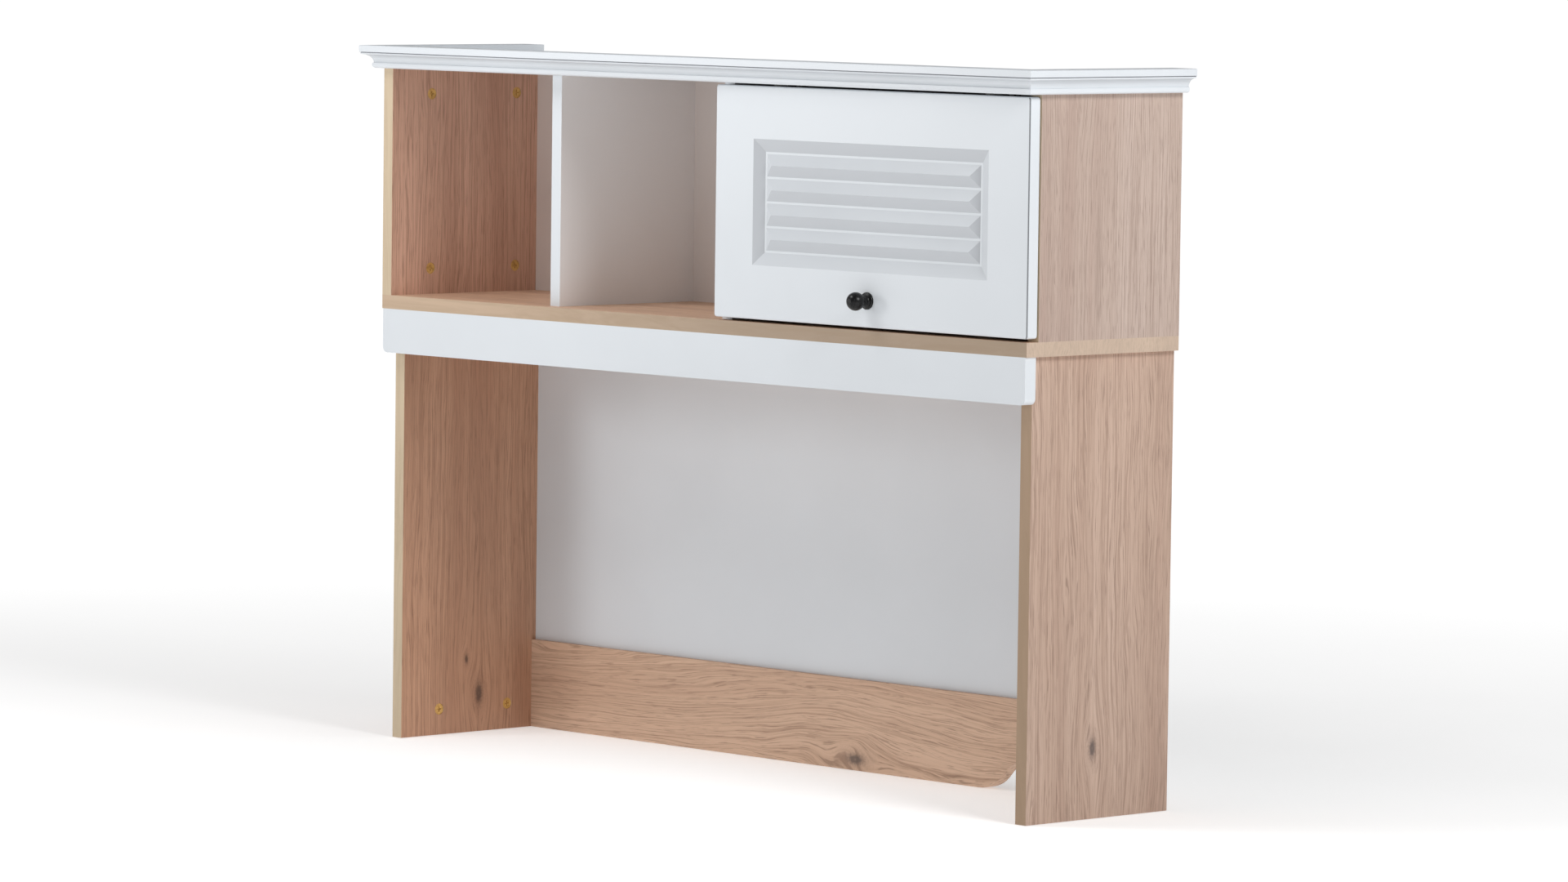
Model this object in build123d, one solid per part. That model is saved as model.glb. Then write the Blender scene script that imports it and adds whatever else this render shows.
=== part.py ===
from build123d import *
import os
from collections import defaultdict

# Desk hutch: an open shelf unit that stands on the back of a desk.
# Millimetres. X runs left to right, Z up from the feet. Inside this file Y is measured from the
# front face of the door and grows towards the wall; save() moves it so that the origin is the
# centre of the whole object's footprint.

# ---- driving dimensions ----
width = 1200.0             # over the upper sides and the shelf
board = 18.0               # thickness of every main board
depth = 265.0              # front face to rear edges
shelf_z = 570.0            # underside of the shelf
carcass_top = 887.0        # top ends of the upper sides
overall_height = 917.0     # top of the cornice
panel_front = 254.0        # front face of the thin back panels
panel_thick = 8.0
groove = 7.0               # how far a back panel enters a side
lower_inset = 7.5          # lower sides stand in from the upper sides
front_gap = 2.0            # between the back of the door and the carcass
divider_front = board + front_gap

open_divider_x = -288.0    # left faces of the two dividers
door_divider_x = 39.0

apron_bottom = 512.0
apron_inset = 2.0
apron_corner = 8.0

rail_height = 117.5        # back rail
rail_front = 247.0
notch_height = 39.0        # cable cut-out in the bottom edge of the back rail
notch_start = 282.0
notch_end = 548.0
notch_slope = 82.0         # length of each S-shaped end of the cut-out

overhang = 24.0            # cornice beyond the carcass
cornice_width = overhang + board
top_board_recess = 12.0    # top board below the cornice rim

door_left = 44.5
door_bottom = 592.0
door_top = 884.0
door_corner = 4.0
door_edge = 2.0
relief_side = 69.5         # plain border beside, below and above the relief
relief_below = 68.0
relief_above = 66.0
bevel = 16.0               # width of the sunken border slope
relief_depth = 6.2
flat = 2.8                 # narrow level strip round every ridge
ridge_count = 4

knob_height = 33.0         # above the bottom edge of the door
knob_ball = 11.5
knob_centre = 20.0
knob_tip = 31.5
knob_neck = 7.0
knob_boss = 3.6
knob_rings = (5.6, 7.8)    # radii of the two fine grooves round the boss
knob_ring_width = 0.35

pivot_y = 7.5              # door pivot line, inside the thickness of the door
pivot_z = door_top - 6.5
hinge_inset = 90.0         # from the ends of the door
cup_radius = 17.5
cup_wall = 0.8
cup_drop = 20.0            # cup centre below the top edge of the door
cup_floor_y = 4.0
pin_radius = 1.5
pin_play = 0.05
arm_width = 9.0
arm_gauge = 3.0
arm_reach = 12.8           # clear distance from the pivot line to the arm's hook
plate_thick = 2.5

cam_radius = 7.5
cam_depth = 12.8
cam_recess = 0.7
cam_end = 34.0             # cam centre from the end of its board
bolt_hole = 3.75           # radius of the holes along a board for its cam bolts
cam_slot = 1.4             # cross slot for the driver
upper_lock_y = (68.0, 217.0)     # cam locks of the upper sides
lower_lock_y = (96.0, 190.0)     # cam locks of the lower sides, under the shelf
foot_lock_y = (84.0, 204.0)      # cam locks of the lower sides, above the desk
bolt_radius = 3.5
bolt_screw_radius = 2.5
bolt_screw_depth = 12.0
panel_screw_z = (630.0, 738.0, 846.0)
panel_screw_length = 30.0
dowel_radius = 4.0
dowel_length = 30.0
fit_play = 0.05            # radial play of dowels and bolts in their holes

half = width / 2
mid_board = board / 2
shelf_top = shelf_z + board
lower_x = half - lower_inset
door_mid = (door_left + half) / 2
origin_shift = -(depth - knob_tip) / 2

bores = defaultdict(list)  # what is drilled or grooved out of each board


def save(name, shape):
    for cutter in bores[name]:
        shape = shape - cutter
    export_step(Pos(0, origin_shift, 0) * shape, f"parts/{name}.step")


def save_group(name, solids):
    moved = [Pos(0, origin_shift, 0) * solid for solid in solids]
    export_step(Compound(children=moved), f"parts/{name}.step")


def block(x0, x1, y0, y1, z0, z1):
    size = Box(x1 - x0, y1 - y0, z1 - z0, align=(Align.MIN, Align.MIN, Align.MIN))
    return Pos(x0, y0, z0) * size


def rod(start, axis, length, radius):
    """A cylinder from start along +-X, +-Y or +-Z."""
    frame = Plane(origin=start, z_dir=axis)
    return frame * Cylinder(radius, length, align=(Align.CENTER, Align.CENTER, Align.MIN))


def mirrored(solid):
    return mirror(solid, about=Plane.YZ)


# ---- joinery ----
def dowel(centre, axis, boards):
    """A wooden dowel across a joint, and its holes in both boards."""
    along = Vector(*axis)
    start = Vector(*centre) - along * (dowel_length / 2)
    hole_start = start - along
    for name in boards:
        bores[name].append(rod(hole_start, axis, dowel_length + 2, dowel_radius))
    return rod(start, axis, dowel_length, dowel_radius - fit_play)


def cam_set(side, inner_x, into, y, cam_z, joint_z, other):
    """A cam lock in a side's inner face, and the bolt that ties the side to another board."""
    up = 1 if joint_z > cam_z else -1
    bolt_x = inner_x + into * mid_board
    reach = abs(joint_z - cam_z)
    bore_depth = cam_depth + cam_recess
    bores[side].append(rod((inner_x, y, cam_z), (into, 0, 0), bore_depth, cam_radius + fit_play))
    bores[side].append(rod((bolt_x, y, cam_z), (0, 0, up), reach, bolt_hole))
    cam = rod((inner_x + into * cam_recess, y, cam_z), (into, 0, 0), cam_depth, cam_radius)
    cam = cam - rod((bolt_x, y, cam_z), (0, 0, up), cam_radius + 1, bolt_hole)
    cam = cam - Pos(inner_x, y, cam_z) * Box(4.4, cam_slot, cam_radius)
    cam = cam - Pos(inner_x, y, cam_z) * Box(4.4, cam_radius, cam_slot)
    if other is None:
        return cam, None
    bores[other].append(rod((bolt_x, y, joint_z), (0, 0, up), bolt_screw_depth, bolt_screw_radius))
    gap = 0.2
    shank = rod((bolt_x, y, cam_z + up * gap), (0, 0, up), reach - gap, bolt_radius)
    thread_length = bolt_screw_depth - 0.5
    thread = rod((bolt_x, y, joint_z), (0, 0, up), thread_length, bolt_screw_radius - fit_play)
    return cam, shank + thread


def wood_screw(head_centre, axis, length, boards):
    """A countersunk screw whose flat head is level with the surface at head_centre."""
    frame = Plane(origin=head_centre, z_dir=axis)
    shank_radius = 1.7
    cone = Cone(3.5, shank_radius, 2.2, align=(Align.CENTER, Align.CENTER, Align.MIN))
    body = frame * cone + rod(head_centre, axis, length, shank_radius)
    for name in boards:
        bores[name].append(body)
    return body - frame * Box(4, 0.9, 2.4) - frame * Box(0.9, 4, 2.4)


def make_locks():
    """Cam locks and their bolts, two at each end of every side."""
    cams, bolts = [], []
    for sign, end in ((-1, "left"), (1, "right")):
        upper, lower = f"upper_side_{end}", f"lower_side_{end}"
        upper_inner = sign * (half - board)
        lower_inner = sign * (lower_x - board)
        joints = []
        for y in upper_lock_y:
            joints.append((upper, upper_inner, y, shelf_top + cam_end, shelf_top, "shelf_board"))
            joints.append((upper, upper_inner, y, carcass_top - cam_end, carcass_top, f"cornice_{end}"))
        for y in lower_lock_y:
            joints.append((lower, lower_inner, y, shelf_z - cam_end, shelf_z, "shelf_board"))
        for side, inner, y, cam_z, joint_z, other in joints:
            cam, bolt = cam_set(side, inner, sign, y, cam_z, joint_z, other)
            cams.append(cam)
            bolts.append(bolt)
        for y in foot_lock_y:
            cams.append(cam_set(lower, lower_inner, sign, y, cam_end, 0.0, None)[0])
    save_group("cam_locks", cams)
    save_group("cam_bolts", bolts)


def make_dowels():
    dowels = []
    rim_z = carcass_top + mid_board
    for sign, end in ((-1, "left"), (1, "right")):
        upper, lower, cornice = f"upper_side_{end}", f"lower_side_{end}", f"cornice_{end}"
        upper_mid = sign * (half - mid_board)
        lower_mid = sign * (lower_x - mid_board)
        for y in (110.0, 175.0):
            dowels.append(dowel((upper_mid, y, carcass_top), (0, 0, 1), (upper, cornice)))
        for y in (45.0, 240.0):
            dowels.append(dowel((lower_mid, y, shelf_z), (0, 0, 1), (lower, "shelf_board")))
        for y in (100.0, 185.0):
            dowels.append(dowel((sign * (half - board), y, rim_z), (1, 0, 0), ("top_board", cornice)))
        rail_mid = (rail_front + depth) / 2
        dowels.append(dowel((sign * (lower_x - board), rail_mid, 70.0), (1, 0, 0), (lower, "back_rail")))
        dowels.append(dowel((lower_mid, board, 540.0), (0, 1, 0), (lower, "apron")))
    for name, x in (("open_divider", open_divider_x), ("door_divider", door_divider_x)):
        for y in (70.0, 200.0):
            dowels.append(dowel((x + mid_board, y, shelf_top), (0, 0, 1), (name, "shelf_board")))
            dowels.append(dowel((x + mid_board, y, carcass_top), (0, 0, 1), (name, "top_board")))
    for x in (-480.0, -160.0, 160.0, 480.0):
        dowels.append(dowel((x, mid_board, shelf_z), (0, 0, 1), ("apron", "shelf_board")))
        dowels.append(dowel((x, board, rim_z), (0, 1, 0), ("cornice_front", "top_board")))
    save_group("wood_dowels", dowels)


def make_panel_screws():
    back = panel_front + panel_thick
    screws = []
    for name, x in (("open_divider", open_divider_x), ("door_divider", door_divider_x)):
        for z in panel_screw_z:
            centre = (x + mid_board, back, z)
            screws.append(wood_screw(centre, (0, -1, 0), panel_screw_length, ("upper_back_panel", name)))
    save_group("back_panel_screws", screws)


# ---- carcass ----
def make_carcass():
    back = panel_front + panel_thick
    for sign, end in ((-1, "left"), (1, "right")):
        x0, x1 = sorted((sign * half, sign * (half - board)))
        front = 0.0 if end == "left" else divider_front
        upper = block(x0, x1, front, depth, shelf_top, carcass_top)
        bores[f"upper_side_{end}"].append(block(-half + board - groove, half - board + groove,
                                                panel_front, back, shelf_top, carcass_top))
        save(f"upper_side_{end}", upper)
        x0, x1 = sorted((sign * lower_x, sign * (lower_x - board)))
        lower = block(x0, x1, board, depth, 0, shelf_z)
        bores[f"lower_side_{end}"].append(block(-lower_x + board - groove, lower_x - board + groove,
                                                panel_front, back, rail_height - groove, shelf_z))
        save(f"lower_side_{end}", lower)
    for name, x in (("open_divider", open_divider_x), ("door_divider", door_divider_x)):
        save(name, block(x, x + board, divider_front, panel_front, shelf_top, carcass_top))
    save("shelf_board", block(-half, half, 0, depth, shelf_z, shelf_top))
    save("upper_back_panel", block(-half + board - groove, half - board + groove,
                                   panel_front, back, shelf_top, carcass_top))
    save("lower_back_panel", block(-lower_x + board - groove, lower_x - board + groove,
                                   panel_front, back, rail_height - groove, shelf_z))
    save("top_board", block(-half + board, half - board, board, depth,
                            carcass_top, overall_height - top_board_recess))


def make_apron():
    x = half - apron_inset
    panel = block(-x, x, 0, board, apron_bottom, shelf_z)
    lower_corners = panel.edges().filter_by(Axis.Y).group_by(Axis.Z)[0]
    save("apron", fillet(lower_corners, apron_corner))


def make_back_rail():
    inner = lower_x - board
    rail = block(-inner, inner, rail_front, depth, 0, rail_height)
    low = (notch_start, notch_start + notch_slope / 2, notch_start + notch_slope)
    high = (notch_end - notch_slope, notch_end - notch_slope / 2, notch_end)
    mid = notch_height / 2
    outline = Curve() + [
        Line((low[0], -1), (low[0], 0)),
        TangentArc((low[0], 0), (low[1], mid), tangent=(1, 0)),
        TangentArc((low[2], notch_height), (low[1], mid), tangent=(-1, 0)),
        Line((low[2], notch_height), (high[0], notch_height)),
        TangentArc((high[0], notch_height), (high[1], mid), tangent=(1, 0)),
        TangentArc((high[2], 0), (high[1], mid), tangent=(-1, 0)),
        Line((high[2], 0), (high[2], -1)),
        Line((high[2], -1), (low[0], -1)),
    ]
    section = Plane(origin=(0, rail_front - 1, 0), x_dir=(1, 0, 0), z_dir=(0, -1, 0)) * make_face(outline)
    notch = extrude(section, -(board + 2))
    back = panel_front + panel_thick
    slot = block(-inner - 1, inner + 1, panel_front, back, rail_height - groove, rail_height + 1)
    save("back_rail", rail - notch - slot)


# ---- cornice ----
def cornice_section():
    """Section of the moulding: u outwards from its inner face, v up from the carcass top."""
    face = board + 11.5
    top = overall_height - carcass_top
    return Curve() + [
        Line((0, 0), (face - 3.5, 0)),
        ThreePointArc((face - 3.5, 0), (face - 0.9, 1.4), (face, 4.5)),
        Line((face, 4.5), (face, 7.0)),
        Line((face, 7.0), (face - 1.5, 7.0)),
        ThreePointArc((face - 1.5, 7.0), (face + 1.6, 14.6), (board + 20.5, 18.0)),
        Line((board + 20.5, 18.0), (board + 21.5, 18.0)),
        ThreePointArc((board + 21.5, 18.0), (board + 22.7, 19.5), (board + 21.5, 21.0)),
        Line((board + 21.5, 21.0), (cornice_width, 21.0)),
        Line((cornice_width, 21.0), (cornice_width, top - 1.0)),
        ThreePointArc((cornice_width, top - 1.0), (cornice_width - 0.3, top - 0.3),
                      (cornice_width - 1.0, top)),
        Line((cornice_width - 1.0, top), (0, top)),
        Line((0, top), (0, 0)),
    ]


def make_cornice():
    section = make_face(cornice_section())
    inner = half - board
    outer = half + overhang
    front_plane = Plane(origin=(outer, board, carcass_top), x_dir=(0, -1, 0), z_dir=(-1, 0, 0))
    front = extrude(front_plane * section, 2 * outer)
    plan = Polyline((-inner, board), (inner, board), (outer, -overhang), (-outer, -overhang), close=True)
    front = front & extrude(Pos(0, 0, carcass_top) * make_face(plan), cornice_width)
    save("cornice_front", front)
    side_plane = Plane(origin=(inner, depth, carcass_top), x_dir=(1, 0, 0), z_dir=(0, -1, 0))
    side = extrude(side_plane * section, depth + overhang)
    plan = Polyline((inner, board), (outer, -overhang), (outer, depth), (inner, depth), close=True)
    side = side & extrude(Pos(0, 0, carcass_top) * make_face(plan), cornice_width)
    save("cornice_right", side)
    save("cornice_left", mirrored(side))


# ---- door ----
def relief():
    """The pocket that is cut into the door, with its hipped ridges left standing."""
    x0, x1 = door_left + relief_side, half - relief_side
    z0, z1 = door_bottom + relief_below, door_top - relief_above
    run = bevel / relief_depth

    def frame_at(y, spread):
        plane = Plane(origin=((x0 + x1) / 2, y, (z0 + z1) / 2), x_dir=(1, 0, 0), z_dir=(0, -1, 0))
        return plane * Rectangle(x1 - x0 + 2 * spread, z1 - z0 + 2 * spread)

    pocket = loft([frame_at(relief_depth, -bevel), frame_at(-1.0, run)])
    left, right = x0 + bevel + flat, x1 - bevel - flat
    pitch = (z1 - z0 - 2 * bevel - flat) / ridge_count
    rise = pitch - flat
    for index in range(ridge_count):
        base = z0 + bevel + flat + index * pitch
        ridge = Polyline((relief_depth, base), (0, base + rise / 2), (relief_depth, base + rise), close=True)
        ridge = extrude(Plane.YZ.offset(left) * make_face(ridge), right - left)
        hips = Polyline((left, relief_depth), (left + rise / 2, 0), (right - rise / 2, 0),
                        (right, relief_depth), close=True)
        ridge = ridge & extrude(Pos(0, 0, base) * make_face(hips), rise)
        pocket = pocket - ridge
    return pocket


def make_door():
    door = block(door_left, half, 0, board, door_bottom, door_top)
    door = fillet(door.edges().filter_by(Axis.Y), door_corner)
    rims = door.faces().sort_by(Axis.Y)[0].edges() + door.faces().sort_by(Axis.Y)[-1].edges()
    door = fillet(rims, door_edge)
    save("door_panel", door - relief())


def make_knob():
    z = door_bottom + knob_height
    neck, boss = knob_neck, knob_boss
    neck_meets_ball = knob_centre - (knob_ball ** 2 - neck ** 2) ** 0.5
    ball_end = knob_centre + (knob_ball ** 2 - boss ** 2) ** 0.5
    outline = Curve() + [
        Line((0, 0), (10.75, 0)),
        Line((10.75, 0), (10.75, 1.6)),
        ThreePointArc((10.75, 1.6), (9.9, 2.8), (8.4, 3.2)),
        ThreePointArc((8.4, 3.2), (7.2, 4.6), (neck, 6.4)),
        Line((neck, 6.4), (neck, neck_meets_ball)),
        ThreePointArc((neck, neck_meets_ball), (knob_ball, knob_centre), (boss, ball_end)),
        Line((boss, ball_end), (boss, knob_tip)),
        Line((boss, knob_tip), (0, knob_tip)),
        Line((0, knob_tip), (0, 0)),
    ]
    knob = revolve(Plane.XZ * make_face(outline), Axis.Z)
    for ring in knob_rings:
        ring_z = knob_centre + (knob_ball ** 2 - ring ** 2) ** 0.5
        knob = knob - Pos(0, 0, ring_z) * Torus(ring, knob_ring_width)
    knob = Plane(origin=(door_mid, 0, z), z_dir=(0, -1, 0)) * knob
    screw = rod((door_mid, board - 3.0, z), (0, 1, 0), 2.4, 4.0)
    screw = screw + rod((door_mid, board - 3.0, z), (0, -1, 0), board - 3.0 + 11.0, 2.0)
    screw = screw - Pos(door_mid, board - 0.6, z) * Box(5, 2.4, 1.0)
    screw = screw - Pos(door_mid, board - 0.6, z) * Box(1.0, 2.4, 5)
    bores["knob"].append(rod((door_mid, 0, z), (0, -1, 0), 11.5, 2.0 + fit_play))
    bores["door_panel"].append(rod((door_mid, board, z), (0, -1, 0), board, 2.0 + fit_play))
    bores["door_panel"].append(rod((door_mid, board - 3.0, z), (0, 1, 0), 3.0, 4.2))
    save("knob", knob)
    save("knob_screw", screw)
    bumpers = [rod((x, board, door_bottom + 14), (0, 1, 0), front_gap - 0.1, 3.5) for x in (51.5, half - 9)]
    save_group("door_bumpers", bumpers)


# ---- hinges ----
def hinge_arm(x):
    """The fixed arm: an eye round the pin, a hook that clears the door's corner, and a foot."""
    inner, outer = arm_reach, arm_reach + arm_gauge
    stub = 1.25
    foot_top = carcass_top - plate_thick - pivot_z
    foot_end = 62.0
    outline = Polyline((-stub, 0), (-stub, -outer), (outer, -outer), (outer, foot_top - arm_gauge),
                       (foot_end, foot_top - arm_gauge), (foot_end, foot_top), (inner, foot_top),
                       (inner, -inner), (stub, -inner), (stub, 0), close=True)
    start = Plane(origin=(x - arm_width / 2, pivot_y, pivot_z), x_dir=(0, 1, 0), z_dir=(1, 0, 0))
    arm = extrude(start * make_face(outline), arm_width)
    arm = arm + rod((x - arm_width / 2, pivot_y, pivot_z), (1, 0, 0), arm_width, 2.4)
    arm = arm - rod((x - arm_width, pivot_y, pivot_z), (1, 0, 0), 2 * arm_width, pin_radius + pin_play)
    return arm


def hinge_cup(x):
    """The steel cup let into the back of the door, with its flange."""
    z = door_top - cup_drop
    cup = rod((x, cup_floor_y, z), (0, 1, 0), board - cup_floor_y, cup_radius)
    flange = rod((x, board, z), (0, 1, 0), 1.0, cup_radius + 1.5) + Pos(x, board + 0.5, z) * Box(52, 1, 13)
    opening = rod((x, cup_floor_y + cup_wall, z), (0, 1, 0), board, cup_radius - cup_wall)
    return cup + flange - opening


def pan_screw(seat, axis, length, head_radius, shank_radius, boards):
    """A screw with a low round head, seated at seat, its shank pointing along axis."""
    back = tuple(-value for value in axis)
    head_height = 1.6
    body = rod(seat, axis, length, shank_radius) + rod(seat, back, head_height, head_radius)
    for name in boards:
        bores[name].append(rod(seat, axis, length + 0.3, shank_radius))
    tip = tuple(s + b * head_height for s, b in zip(seat, back))
    frame = Plane(origin=tip, z_dir=axis)
    return body - frame * Box(3.4, 0.8, 1.8) - frame * Box(0.8, 3.4, 1.8)


def make_hinges():
    plate_screws, arm_screws, cup_screws = [], [], []
    for end, x in (("left", door_left + hinge_inset), ("right", half - hinge_inset)):
        z = door_top - cup_drop
        cup_name, plate_name, arm_name = f"hinge_cup_{end}", f"hinge_plate_{end}", f"hinge_arm_{end}"
        bores["door_panel"].append(rod((x, cup_floor_y, z), (0, 1, 0), board, cup_radius))
        for side in (-1, 1):
            seat = (x + side * 22.5, board + 1.0, z)
            cup_screws.append(pan_screw(seat, (0, -1, 0), 13.0, 3.0, 1.7, (cup_name, "door_panel")))
            seat = (x + side * 12.0, 46.0, carcass_top - plate_thick)
            plate_screws.append(pan_screw(seat, (0, 0, 1), 15.0, 3.2, 1.8, (plate_name, "top_board")))
        seat = (x, 60.0, carcass_top - plate_thick - arm_gauge)
        arm_screws.append(pan_screw(seat, (0, 0, 1), 7.0, 3.2, 2.0, (arm_name, plate_name, "top_board")))
        pin_half = 8.6
        pin = rod((x - pin_half, pivot_y, pivot_z), (1, 0, 0), 2 * pin_half, pin_radius)
        save(cup_name, hinge_cup(x) - pin)
        save(f"hinge_pin_{end}", pin)
        save(arm_name, hinge_arm(x))
        plate = block(x - 17, x + 17, 26.0, 68.0, carcass_top - plate_thick, carcass_top)
        save(plate_name, fillet(plate.edges().filter_by(Axis.Z), 4.0))
    save_group("hinge_plate_screws", plate_screws)
    save_group("hinge_arm_screws", arm_screws)
    save_group("hinge_cup_screws", cup_screws)


os.makedirs("parts", exist_ok=True)
make_locks()
make_dowels()
make_panel_screws()
make_hinges()
make_knob()
make_door()
make_carcass()
make_apron()
make_back_rail()
make_cornice()
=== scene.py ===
import math

import bpy
from mathutils import Matrix, Vector


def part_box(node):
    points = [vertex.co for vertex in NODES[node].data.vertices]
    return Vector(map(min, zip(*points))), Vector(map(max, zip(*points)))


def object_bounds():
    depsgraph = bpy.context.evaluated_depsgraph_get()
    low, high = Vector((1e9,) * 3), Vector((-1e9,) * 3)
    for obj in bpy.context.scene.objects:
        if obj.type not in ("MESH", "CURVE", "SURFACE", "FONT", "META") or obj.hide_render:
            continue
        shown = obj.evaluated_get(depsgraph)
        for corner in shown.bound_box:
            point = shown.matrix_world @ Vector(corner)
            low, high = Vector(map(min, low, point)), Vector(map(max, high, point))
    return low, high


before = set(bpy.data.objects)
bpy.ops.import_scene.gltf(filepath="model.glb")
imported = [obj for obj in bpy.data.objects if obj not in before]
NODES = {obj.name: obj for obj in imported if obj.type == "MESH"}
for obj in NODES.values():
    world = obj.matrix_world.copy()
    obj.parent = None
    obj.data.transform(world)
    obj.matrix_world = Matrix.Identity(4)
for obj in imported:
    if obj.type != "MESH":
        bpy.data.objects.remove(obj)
cad_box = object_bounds()
MM = 0.001
X, Y, Z = 0, 1, 2

# The two ends of a ramp that serves as a mask.
OFF = (0, 0, 0)
ON = (1, 1, 1)


def grey(value):
    return (value, value, value)


# ---------------------------------------------------------------- materials


# A face counts as looking along an axis when its normal leans less than about 37 degrees from it.
SQUARE_ON = 0.8


class Graph:
    """Short calls for building a node material."""

    def __init__(self, name):
        self.material = bpy.data.materials.new(name)
        self.material.use_nodes = True
        self.tree = self.material.node_tree
        self.tree.nodes.clear()
        self.output = self.tree.nodes.new("ShaderNodeOutputMaterial")
        self.shader = self.tree.nodes.new("ShaderNodeBsdfPrincipled")
        self.link(self.shader.outputs[0], self.output.inputs[0])

    def link(self, source, target):
        self.tree.links.new(source, target)

    def set(self, socket, value):
        if isinstance(value, bpy.types.NodeSocket):
            self.link(value, socket)
        else:
            socket.default_value = value

    def math(self, operation, a, b=0.0, clamp=False):
        node = self.tree.nodes.new("ShaderNodeMath")
        node.operation = operation
        node.use_clamp = clamp
        self.set(node.inputs[0], a)
        self.set(node.inputs[1], b)
        return node.outputs[0]

    def position(self):
        """The point on the object, in metres, as three numbers."""
        coordinates = self.tree.nodes.new("ShaderNodeTexCoord")
        split = self.tree.nodes.new("ShaderNodeSeparateXYZ")
        self.link(coordinates.outputs["Object"], split.inputs[0])
        return list(split.outputs)

    def normal(self):
        """The way the surface looks in the object's own axes, as three numbers."""
        coordinates = self.tree.nodes.new("ShaderNodeTexCoord")
        split = self.tree.nodes.new("ShaderNodeSeparateXYZ")
        self.link(coordinates.outputs["Normal"], split.inputs[0])
        return list(split.outputs)

    def faces(self, axis):
        """1 on faces that look along one axis of the object, either way, and 0 on the others."""
        return self.math("GREATER_THAN", self.math("ABSOLUTE", self.normal()[axis]), SQUARE_ON)

    def both(self, *factors):
        """The product of several factors."""
        product = factors[0]
        for factor in factors[1:]:
            product = self.math("MULTIPLY", product, factor)
        return product

    def between(self, value, low, high):
        """1 where the value lies between two limits, and 0 elsewhere."""
        return self.both(self.math("GREATER_THAN", value, low), self.math("LESS_THAN", value, high))

    def vector(self, x, y, z):
        node = self.tree.nodes.new("ShaderNodeCombineXYZ")
        for socket, value in zip(node.inputs, (x, y, z)):
            self.set(socket, value)
        return node.outputs[0]

    def noise(self, vector, scale, detail=2.0, roughness=0.5, distortion=0.0):
        node = self.tree.nodes.new("ShaderNodeTexNoise")
        self.link(vector, node.inputs["Vector"])
        node.inputs["Scale"].default_value = scale
        node.inputs["Detail"].default_value = detail
        node.inputs["Roughness"].default_value = roughness
        node.inputs["Distortion"].default_value = distortion
        return node.outputs["Fac"]

    def ramp(self, value, stops):
        node = self.tree.nodes.new("ShaderNodeValToRGB")
        elements = node.color_ramp.elements
        while len(elements) < len(stops):
            elements.new(0.5)
        for element, (place, colour) in zip(elements, stops):
            element.position = place
            element.color = colour if len(colour) == 4 else (*colour, 1.0)
        self.link(value, node.inputs[0])
        return node.outputs[0]

    def mix(self, factor, a, b, blend="MIX"):
        node = self.tree.nodes.new("ShaderNodeMix")
        node.data_type = "RGBA"
        node.blend_type = blend
        self.set(node.inputs[0], factor)
        for socket, value in ((node.inputs[6], a), (node.inputs[7], b)):
            if isinstance(value, tuple):
                value = (*value, 1.0)[:4]
            self.set(socket, value)
        return node.outputs[2]

    def bump(self, height, strength, distance):
        node = self.tree.nodes.new("ShaderNodeBump")
        node.inputs["Strength"].default_value = strength
        node.inputs["Distance"].default_value = distance
        self.link(height, node.inputs["Height"])
        self.link(node.outputs[0], self.shader.inputs["Normal"])

    def surface(self, colour, roughness, **constants):
        self.set(self.shader.inputs["Base Color"], (*colour, 1.0) if isinstance(colour, tuple) else colour)
        self.set(self.shader.inputs["Roughness"], roughness)
        for name, value in constants.items():
            self.shader.inputs[name.replace("_", " ")].default_value = value
        return self.material


OAK_TONES = {
    "wide_dark": (0.495, 0.322, 0.232),
    "wide_middle": (0.585, 0.410, 0.300),
    "wide_light": (0.665, 0.480, 0.360),
    "streak": (0.435, 0.292, 0.210),
    "ring_line": (0.330, 0.205, 0.140),
    "pore": (0.270, 0.170, 0.120),
    "knot_halo": (0.330, 0.215, 0.155),
    "knot_eye": (0.105, 0.080, 0.070),
}
STRIP_STREAK = (0.30, 0.21, 0.13)
RINGS_PER_METRE = 120.0
# How far a knot reaches, and how much longer than wide it lies along the grain.
KNOT_REACH = 1.7
KNOT_LENGTHWAYS = 0.45
# The waves of one year line, in metres to either side, on a board with the full figure.
GRAIN_WANDER = 0.075


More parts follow.
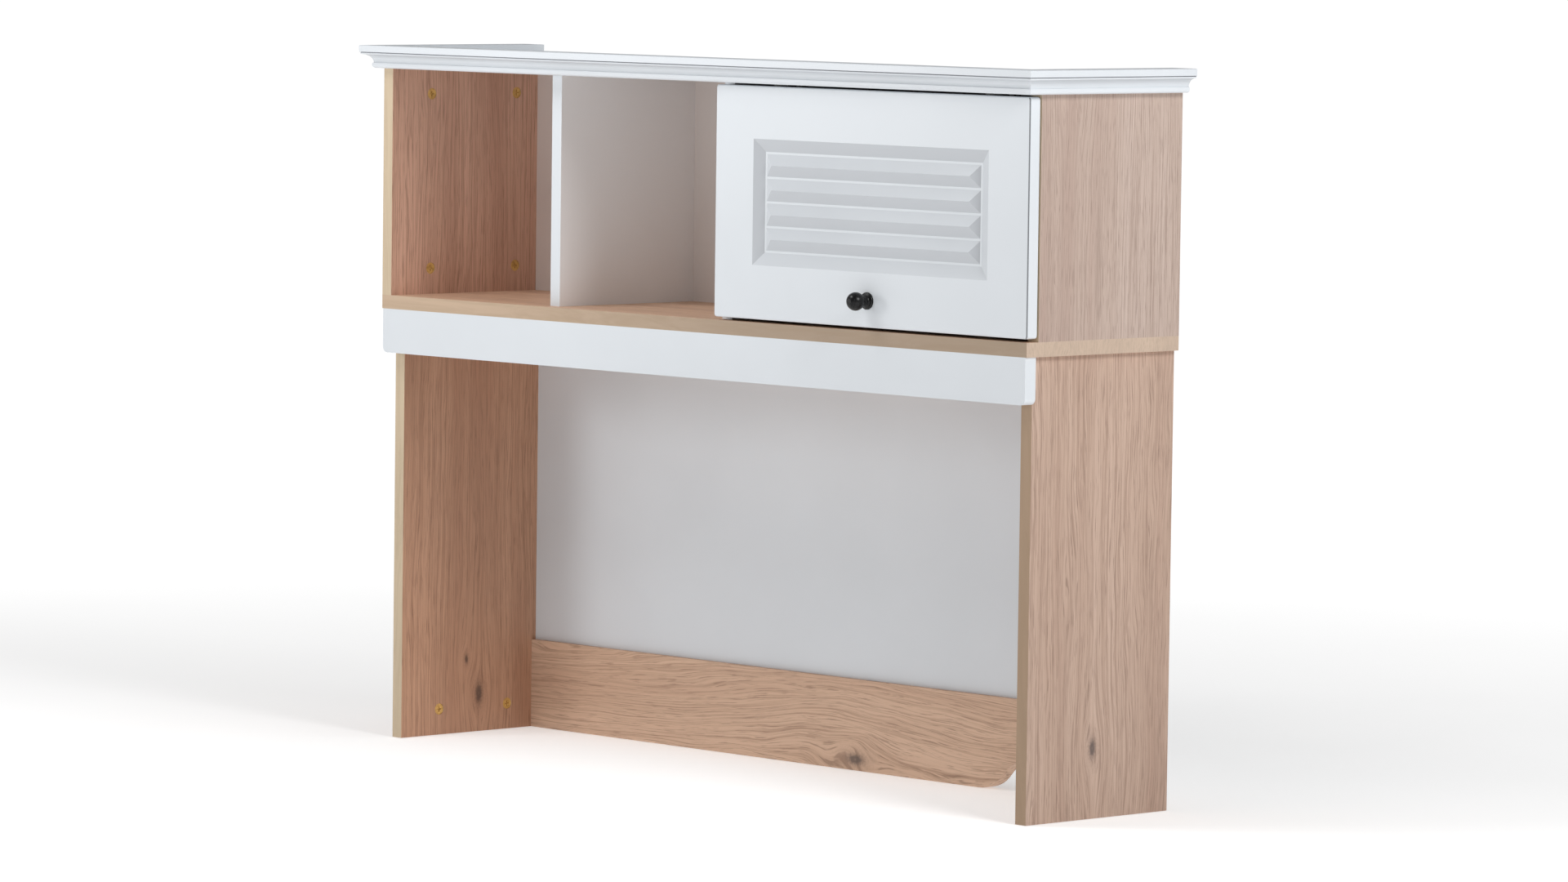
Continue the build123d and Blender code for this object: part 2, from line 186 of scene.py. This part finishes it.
def oak(name, along, across, offset=(0.0, 0.0), knots=(), swirl=1.0, tint=(1.0, 1.0, 1.0), figure=1.0,
        band=None, ends=None):
    """Oak-look laminate. along and across are the axis numbers of the grain and of the board's width.

    offset, in metres, picks the stretch of grain. Each knot is (along, across, radius) in metres,
    and swirl widens the grain's bend round it. tint multiplies every tone of the board. figure is
    the strength of the year lines and of their waves. band is the tone of the front and rear edge
    strips, or a pair of tones with the two places along X that they belong to; the pair fades from
    one to the other as painted shade. ends is the tone of the two end faces.
    """
    g = Graph(name)
    axes = g.position()
    third = 3 - along - across

    def tone(kind):
        return tuple(channel * share for channel, share in zip(OAK_TONES[kind], tint))

    # The grain's own coordinates: u along it, v across it, bent round the knots.
    u = g.math("ADD", axes[along], offset[0])
    v = g.math("ADD", axes[across], offset[1])
    distances = []
    for place_u, place_v, radius in knots:
        du = g.math("MULTIPLY", g.math("SUBTRACT", axes[along], place_u), KNOT_LENGTHWAYS)
        dv = g.math("SUBTRACT", axes[across], place_v)
        squared = g.math("ADD", g.math("MULTIPLY", du, du), g.math("MULTIPLY", dv, dv))
        reach = (radius * KNOT_REACH * swirl) ** 2
        pull = g.math("DIVIDE", reach, g.math("ADD", squared, reach))
        v = g.math("SUBTRACT", v, g.math("MULTIPLY", dv, pull))
        distances.append((g.math("SQRT", squared), radius))

    slow = g.vector(g.math("MULTIPLY", u, 1.6), g.math("MULTIPLY", v, 9.0),
                    g.math("MULTIPLY", axes[third], 9.0))
    drift = g.math("SUBTRACT", g.noise(slow, 1.0, 3.0, 0.55, 0.3), 0.5)
    bent = g.math("ADD", v, g.math("MULTIPLY", drift, GRAIN_WANDER * figure))

    def grain(lengthways, crossways, depth, *noise):
        """Noise stretched along the grain, on the bent coordinate."""
        space = g.vector(g.math("MULTIPLY", u, lengthways), g.math("MULTIPLY", bent, crossways), depth)
        return g.noise(space, 1.0, *noise)

    rings = g.math("FRACT", g.math("MULTIPLY", bent, RINGS_PER_METRE))
    patch = g.ramp(grain(2.2, 14.0, 0.4, 2.0), [(0.44, OFF), (0.64, ON)])
    ring_line = g.math("MULTIPLY", g.math("POWER", rings, 4.0), patch)
    depth = g.math("MULTIPLY", axes[third], 90.0)
    streak = grain(4.0, 520.0, depth, 4.0, 0.66)
    pore = grain(26.0, 1000.0, depth, 2.0, 0.6)
    wide = grain(0.7, 17.0, 0.7, 3.0, 0.6)

    # Wide bands, then streaks, year lines and pores over them.
    colour = g.ramp(wide, [(0.28, tone("wide_dark")), (0.5, tone("wide_middle")), (0.72, tone("wide_light"))])
    colour = g.mix(g.ramp(streak, [(0.36, ON), (0.54, OFF)]), colour, tone("streak"))
    colour = g.mix(g.math("MULTIPLY", ring_line, 0.38 * figure), colour, tone("ring_line"))
    dashes = g.ramp(pore, [(0.35, ON), (0.44, OFF)])
    colour = g.mix(g.math("MULTIPLY", dashes, 0.62), colour, tone("pore"))
    # Each knot has a soft halo and a dark, ringed eye.
    for distance, radius in distances:
        wobble = g.noise(g.vector(axes[along], axes[across], 0.0), 330.0, 3.0)
        edge = g.math("MULTIPLY", distance, g.math("ADD", wobble, 0.5))
        halo = g.math("SUBTRACT", 1.0, g.math("DIVIDE", edge, radius * 1.5), clamp=True)
        colour = g.mix(g.math("MULTIPLY", halo, 0.55), colour, tone("knot_halo"))
        ring = g.math("SINE", g.math("MULTIPLY", edge, 7.0 / radius))
        inner = g.math("SUBTRACT", 1.0, g.math("DIVIDE", edge, radius * 0.8), clamp=True)
        spot = g.math("POWER", inner, 0.5)
        ringed = g.math("ADD", g.math("MULTIPLY", ring, 0.35), 0.60)
        eye = g.math("MULTIPLY", spot, ringed, clamp=True)
        colour = g.mix(eye, colour, tone("knot_eye"))
    if band:
        strip = band
        if len(band) == 2:
            (near, near_x), (far, far_x) = band
            offset_x = g.math("SUBTRACT", axes[X], near_x)
            strip = g.mix(g.math("DIVIDE", offset_x, far_x - near_x, clamp=True), near, far)
        dim_streak = g.math("MULTIPLY", g.ramp(streak, [(0.36, ON), (0.6, OFF)]), 0.22)
        colour = g.mix(g.faces(Y), colour, g.mix(dim_streak, strip, STRIP_STREAK))
    if ends:
        colour = g.mix(g.math("MULTIPLY", g.faces(X), 0.7), colour, ends)
    relief = g.math("ADD", g.math("MULTIPLY", streak, 0.6), g.math("MULTIPLY", pore, 0.4))
    g.bump(relief, 0.3, 0.0004)
    rough = g.ramp(streak, [(0.3, grey(0.58)), (0.7, grey(0.46))])
    return g.surface(colour, rough, Specular_IOR_Level=0.35)


# Painted shade tone for the cornice's crease line and cove bands.
PAINTED_CREASE_SHADE_TONE = (0.20, 0.20, 0.23)
# Painted shade for the door relief's slopes and for the dark line on the door's rounded right edge.
PAINTED_SLOPE_SHADE_TONE = (0.20, 0.20, 0.22)
PAINTED_EDGE_SHADE_TONE = (0.05, 0.05, 0.06)
RELIEF_REACH = 0.012


def white_board(name, colour, roughness=0.34, sides=None, front=None, painted_shade_lines=(), relief=None):
    """Satin white lacquer: a trace of orange peel and of colour drift.

    sides is the tone of faces along X, and front that of faces towards -Y: here both carry painted
    bounce light. Each painted shade line is a dark band, (low z, high z, darkness) in metres, painted
    where creases and hollows fall into shade. relief is the box of a sunken pattern, as (low corner,
    high corner): its slopes take a painted shade, darkest where they look down or to +X. The rounded
    edge beyond the box's +X side takes a nearly black painted shade line.
    """
    g = Graph(name)
    x, y, z = g.position()
    space = g.vector(x, y, z)
    drift = g.noise(space, 6.0, 3.0)
    peel = g.noise(space, 420.0, 2.0)
    darker = tuple(channel * 0.97 for channel in colour)
    tint = g.mix(g.ramp(drift, [(0.35, OFF), (0.65, ON)]), darker, colour)
    # Painted bounce light: the sides and front tones stand in for warm light bounced off the oak.
    if sides:
        tint = g.mix(g.faces(X), tint, sides)
    if front:
        tint = g.mix(g.math("LESS_THAN", g.normal()[Y], -0.5), tint, front)
    # Painted shade lines: bands of darker tone where creases and hollows fall into shade.
    for low, high, darkness in painted_shade_lines:
        tint = g.mix(g.both(g.between(z, low, high), darkness), tint, PAINTED_CREASE_SHADE_TONE)
    # Painted shade on the relief: slopes darken, most where they face down or to +X, and the rounded edge
    # beyond its +X side turns nearly black.
    if relief:
        nx, ny, nz = g.normal()
        low, high = relief
        near_front = g.math("LESS_THAN", y, low.y + RELIEF_REACH)
        inside = g.both(g.between(x, low.x, high.x), g.between(z, low.z, high.z), near_front)
        slope = g.math("SUBTRACT", 1.0, g.math("ABSOLUTE", ny), clamp=True)
        down = g.math("GREATER_THAN", g.math("MULTIPLY", nz, -1.0), 0.15)
        rightward = g.math("GREATER_THAN", nx, 0.15)
        sunk = g.math("GREATER_THAN", slope, 0.03)
        painted_shade_amount = g.math("ADD", 0.13, g.math("MULTIPLY", down, 0.17))
        painted_shade_amount = g.math("ADD", painted_shade_amount, g.math("MULTIPLY", rightward, 0.24))
        tint = g.mix(g.both(inside, sunk, painted_shade_amount), tint, PAINTED_SLOPE_SHADE_TONE)
        rounded = g.both(g.between(nx, 0.25, 0.93), g.math("LESS_THAN", ny, -0.3))
        corner = g.both(rounded, g.math("GREATER_THAN", x, high.x))
        tint = g.mix(g.math("MULTIPLY", corner, 0.75), tint, PAINTED_EDGE_SHADE_TONE)
    g.bump(peel, 0.02, 0.0002)
    rough = g.ramp(drift, [(0.3, grey(roughness)), (0.7, grey(roughness + 0.08))])
    return g.surface(tint, rough, Specular_IOR_Level=0.45)


def steel(name):
    """Bright zinc plate, with fine brush lines along X."""
    g = Graph(name)
    x, y, z = g.position()
    fine_y = g.math("MULTIPLY", y, 1400.0)
    fine_z = g.math("MULTIPLY", z, 1400.0)
    lines = g.vector(g.math("MULTIPLY", x, 60.0), fine_y, fine_z)
    brush = g.noise(lines, 1.0, 2.0)
    colour = g.ramp(brush, [(0.3, (0.50, 0.51, 0.52)), (0.7, (0.66, 0.67, 0.68))])
    rough = g.ramp(brush, [(0.3, grey(0.24)), (0.7, grey(0.38))])
    g.bump(brush, 0.1, 0.0001)
    return g.surface(colour, rough, Metallic=1.0)


def yellow_zinc(name):
    """Yellow passivated zinc: a cloudy, gritty casting."""
    g = Graph(name)
    x, y, z = g.position()
    space = g.vector(x, y, z)
    cloud = g.noise(space, 240.0, 3.0)
    grit = g.noise(space, 1900.0, 2.0)
    colour = g.ramp(cloud, [(0.3, (0.50, 0.29, 0.08)), (0.55, (0.70, 0.42, 0.12)),
                            (0.75, (0.78, 0.52, 0.18))])
    g.bump(grit, 0.2, 0.0002)
    return g.surface(colour, 0.40, Metallic=0.15)


def black_lacquer(name):
    """Semi-gloss black."""
    g = Graph(name)
    x, y, z = g.position()
    space = g.vector(x, y, z)
    cloud = g.noise(space, 160.0, 3.0)
    colour = g.ramp(cloud, [(0.3, (0.003, 0.003, 0.0035)), (0.7, (0.007, 0.007, 0.008))])
    rough = g.ramp(cloud, [(0.3, grey(0.22)), (0.7, grey(0.32))])
    g.bump(g.noise(space, 1500.0, 2.0), 0.06, 0.0001)
    return g.surface(colour, rough, Specular_IOR_Level=0.28)


def soft_plastic(name, colour):
    """Pale, cloudy plastic."""
    g = Graph(name)
    x, y, z = g.position()
    cloud = g.noise(g.vector(x, y, z), 300.0, 2.0)
    tint = g.ramp(cloud, [(0.3, tuple(c * 0.9 for c in colour)), (0.7, colour)])
    g.bump(cloud, 0.05, 0.0001)
    return g.surface(tint, 0.45)


# ---------------------------------------------------------------- what each node wears
WHITE = (0.690, 0.723, 0.757)
STRIP_LIGHT = (0.600, 0.480, 0.335)
# Painted shade: a dimmer strip tone for edges that fall in shade.
PAINTED_SHADE_STRIP = (0.385, 0.265, 0.175)
# Painted bounce light: warm tones for the divider sides and the upper back panel's front, standing in for
# light bounced off the oak.
PAINTED_BOUNCE_SIDE = (0.800, 0.770, 0.760)
PAINTED_BOUNCE_FRONT = (0.770, 0.700, 0.665)
BACK_ROUGHNESS = 0.5
left_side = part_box("lower_side_left")
right_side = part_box("lower_side_right")
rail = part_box("back_rail")
MATERIALS = {
    # Its edge strips take the dim tone: painted shade on the right-hand front edge.
    "lower_side_right": oak("oak_lower_right", Z, Y, (0.31, 0.02), band=PAINTED_SHADE_STRIP, tint=(0.90, 0.91, 0.97),
                            figure=0.8, knots=[(right_side[0].z + 0.0865, right_side[0].y + 0.1135, 0.0105)]),
    # Its tint darkens and warms the whole board: partly the board's own tone, partly painted shade for the
    # inside, where this board is seen.
    "lower_side_left": oak("oak_lower_left_tone_and_shade", Z, Y, (0.77, 0.35), band=STRIP_LIGHT, tint=(0.92, 0.75, 0.66),
                           figure=0.6, knots=[(left_side[0].z + 0.051, left_side[0].y + 0.1354, 0.012),
                                              (left_side[0].z + 0.098, left_side[0].y + 0.113, 0.0055)]),
    "upper_side_right": oak("oak_upper_right", Z, Y, (1.43, 0.13), band=STRIP_LIGHT, tint=(0.86, 0.95, 1.10),
                            figure=0.7),
    "upper_side_left": oak("oak_upper_left", Z, Y, (2.11, 0.61), band=STRIP_LIGHT, tint=(1.14, 0.98, 0.97),
                           figure=0.6),
    # The shelf's edge strips fade from light at x = -0.45 m to dim at 0.12 m: painted shade under the door.
    "shelf_board": oak("oak_shelf", X, Y, (0.57, 0.22), figure=0.6, tint=(1.22, 1.15, 1.08),
                       ends=(0.475, 0.395, 0.320),
                       band=(((0.540, 0.398, 0.280), -0.45), ((0.385, 0.290, 0.210), 0.12))),
    "back_rail": oak("oak_rail", X, Z, (0.93, 0.07), figure=0.9, swirl=2.2, tint=(1.13, 1.10, 1.07),
                     knots=[(rail[0].x + 0.6304, rail[0].z + 0.0142, 0.014)]),
}
white = white_board("white_lacquer", WHITE)
# The door's relief box, where its slopes get painted shade.
door_low, door_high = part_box("door_panel")
louvres = (door_low + Vector((0.060, 0, 0.060)), door_high - Vector((0.060, 0, 0.055)))
white_door_painted_shade = white_board("white_door_painted_shade", WHITE, relief=louvres)
# The step under the cornice's rim.
RIM_HEIGHT = 0.009
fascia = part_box("cornice_front")[1].z - RIM_HEIGHT
# Painted shade: a dark line in the crease under the fascia, then two fainter bands for the shade down the
# cove.
white_cornice_painted_shade = white_board("white_cornice_painted_shade", WHITE, painted_shade_lines=[(fascia - 0.0009, fascia + 0.0003, 0.70),
                                                           (fascia - 0.0055, fascia - 0.0030, 0.22),
                                                           (fascia - 0.0078, fascia - 0.0055, 0.10)])
white_divider_painted_bounce = white_board("white_divider_painted_bounce", WHITE, sides=PAINTED_BOUNCE_SIDE)
# The lower back panel is the same white made 3% lighter: painted light.
white_back_painted_light = white_board("white_back_board", tuple(c * 1.03 for c in WHITE), BACK_ROUGHNESS)
painted_bounce_back = white_board("warm_back_board", WHITE, BACK_ROUGHNESS, front=PAINTED_BOUNCE_FRONT)
for node in ("apron", "top_board"):
    MATERIALS[node] = white
for node in ("cornice_front", "cornice_left", "cornice_right"):
    MATERIALS[node] = white_cornice_painted_shade
MATERIALS["door_panel"] = white_door_painted_shade
for node in ("open_divider", "door_divider"):
    MATERIALS[node] = white_divider_painted_bounce
MATERIALS["upper_back_panel"] = painted_bounce_back
MATERIALS["lower_back_panel"] = white_back_painted_light
zinc = yellow_zinc("yellow_zinc")
bright = steel("bright_zinc_steel")
# Near-black lacquer for the hinge arms and plates: painted shade, since they are seen only in the dark gap
# above the door.
hinge_painted_shade_black = black_lacquer("hinge_black_painted_shade")
for node in ("cam_locks", "cam_bolts"):
    MATERIALS[node] = zinc
MATERIALS["knob"] = black_lacquer("black_lacquer")
for node in ("hinge_arm_left", "hinge_arm_right", "hinge_plate_left", "hinge_plate_right"):
    MATERIALS[node] = hinge_painted_shade_black
MATERIALS["wood_dowels"] = oak("beech", X, Y, (0.1, 0.1), tint=(1.2, 1.2, 1.2), figure=0.3)
MATERIALS["door_bumpers"] = soft_plastic("clear_bumper", (0.62, 0.62, 0.60))
for node, obj in NODES.items():
    obj.data.materials.clear()
    obj.data.materials.append(MATERIALS.get(node, bright))

# ---------------------------------------------------------------- soft edges on the boards, radii in mm
EDGE_RADII = {
    "top_board": 0.4, "open_divider": 0.5, "door_divider": 0.5, "lower_side_left": 0.35,
    "lower_side_right": 0.35, "upper_side_left": 0.35, "upper_side_right": 0.35, "shelf_board": 0.35,
    "back_rail": 0.6, "apron": 1.6, "upper_back_panel": 0.2, "lower_back_panel": 0.2,
    "cornice_front": 0.3, "cornice_left": 0.3, "cornice_right": 0.3,
}
EDGE_SEGMENTS = 3
SHARP_ANGLE = 50
for node, radius in EDGE_RADII.items():
    bevel = NODES[node].modifiers.new("soft_edges", "BEVEL")
    bevel.width = radius * MM
    bevel.segments = EDGE_SEGMENTS
    bevel.limit_method = "ANGLE"
    bevel.angle_limit = math.radians(SHARP_ANGLE)
    bevel.use_clamp_overlap = True
    bevel.harden_normals = False

# ---------------------------------------------------------------- camera
LENS = 172.09
SENSOR_WIDTH = 36.0
SHIFT_UP = -0.0042
FAR_CLIP = 1000.0
CAMERA_PLACE = Vector((6.9540, -6.5221, 1.1377))
VIEW = {"yaw": 46.619, "pitch": -4.211, "roll": 0.734}


def camera_axes(yaw, pitch, roll):
    """The camera's right, up and forward, from angles in degrees."""
    yaw, pitch, roll = (math.radians(angle) for angle in (yaw, pitch, roll))
    forward = Vector((-math.sin(yaw) * math.cos(pitch), math.cos(yaw) * math.cos(pitch), math.sin(pitch)))
    right = Vector((math.cos(yaw), math.sin(yaw), 0.0))
    up = right.cross(forward)
    turned = right * math.cos(roll) + up * math.sin(roll)
    return turned, up * math.cos(roll) - right * math.sin(roll), forward


camera_data = bpy.data.cameras.new("camera")
camera_data.lens = LENS
camera_data.sensor_width = SENSOR_WIDTH
camera_data.shift_y = SHIFT_UP
camera_data.clip_end = FAR_CLIP
camera = bpy.data.objects.new("camera", camera_data)
bpy.context.scene.collection.objects.link(camera)
right, up, forward = camera_axes(**VIEW)
basis = Matrix((right, up, -forward)).transposed().to_4x4()
camera.matrix_world = Matrix.Translation(CAMERA_PLACE) @ basis
bpy.context.scene.camera = camera

# ---------------------------------------------------------------- floor
FLOOR_SIZE = 400.0
FLOOR_GAP = 0.5 * MM
# The floor glows, and more with distance from the origin: its ramp ends this far out, in metres.
GLOW_REACH = 8.0
low = cad_box[0]
bpy.ops.mesh.primitive_plane_add(size=FLOOR_SIZE, location=(0, 0, low[Z] - FLOOR_GAP))
floor = bpy.context.object
floor.name = "floor"
g = Graph("pale_floor")
x, y, z = g.position()
floor_tint = g.ramp(g.noise(g.vector(x, y, z), 3.0, 2.0), [(0.3, grey(0.86)), (0.7, grey(0.88))])
g.surface(floor_tint, 0.9, Specular_IOR_Level=0.1, Emission_Strength=0.80)
distance = g.math("SQRT", g.math("ADD", g.math("MULTIPLY", x, x), g.math("MULTIPLY", y, y)))
glow = g.ramp(g.math("DIVIDE", distance, GLOW_REACH, clamp=True), [(0.08, grey(0.46)), (0.42, grey(1.0))])
g.link(glow, g.shader.inputs["Emission Color"])
floor.data.materials.append(g.material)

# ---------------------------------------------------------------- light
WORLD_STRENGTH = 0.28
world = bpy.data.worlds.new("studio")
bpy.context.scene.world = world
world.use_nodes = True
background = world.node_tree.nodes["Background"]
background.inputs["Color"].default_value = (1.0, 1.0, 1.0, 1.0)
background.inputs["Strength"].default_value = WORLD_STRENGTH


def area_light(name, place, target, size, power):
    """A round area light aimed at a target: places and size in metres, power in watts."""
    data = bpy.data.lights.new(name, "AREA")
    data.shape = "DISK"
    data.size = size
    data.energy = power
    light = bpy.data.objects.new(name, data)
    bpy.context.scene.collection.objects.link(light)
    light.location = place
    light.rotation_euler = (Vector(target) - Vector(place)).to_track_quat("-Z", "Y").to_euler()


area_light("key", place=(-1.12, -1.56, 0.95), target=(0.0, -0.1, 0.7), size=0.5, power=6.3)
area_light("top_front", place=(-0.4, -1.0, 1.9), target=(0.0, 0.0, 0.7), size=0.8, power=9.2)
area_light("side_fill", place=(3.0, -0.4, 2.4), target=(0.6, 0.0, 0.7), size=1.2, power=51.0)

bpy.context.scene.view_settings.view_transform = "Standard"
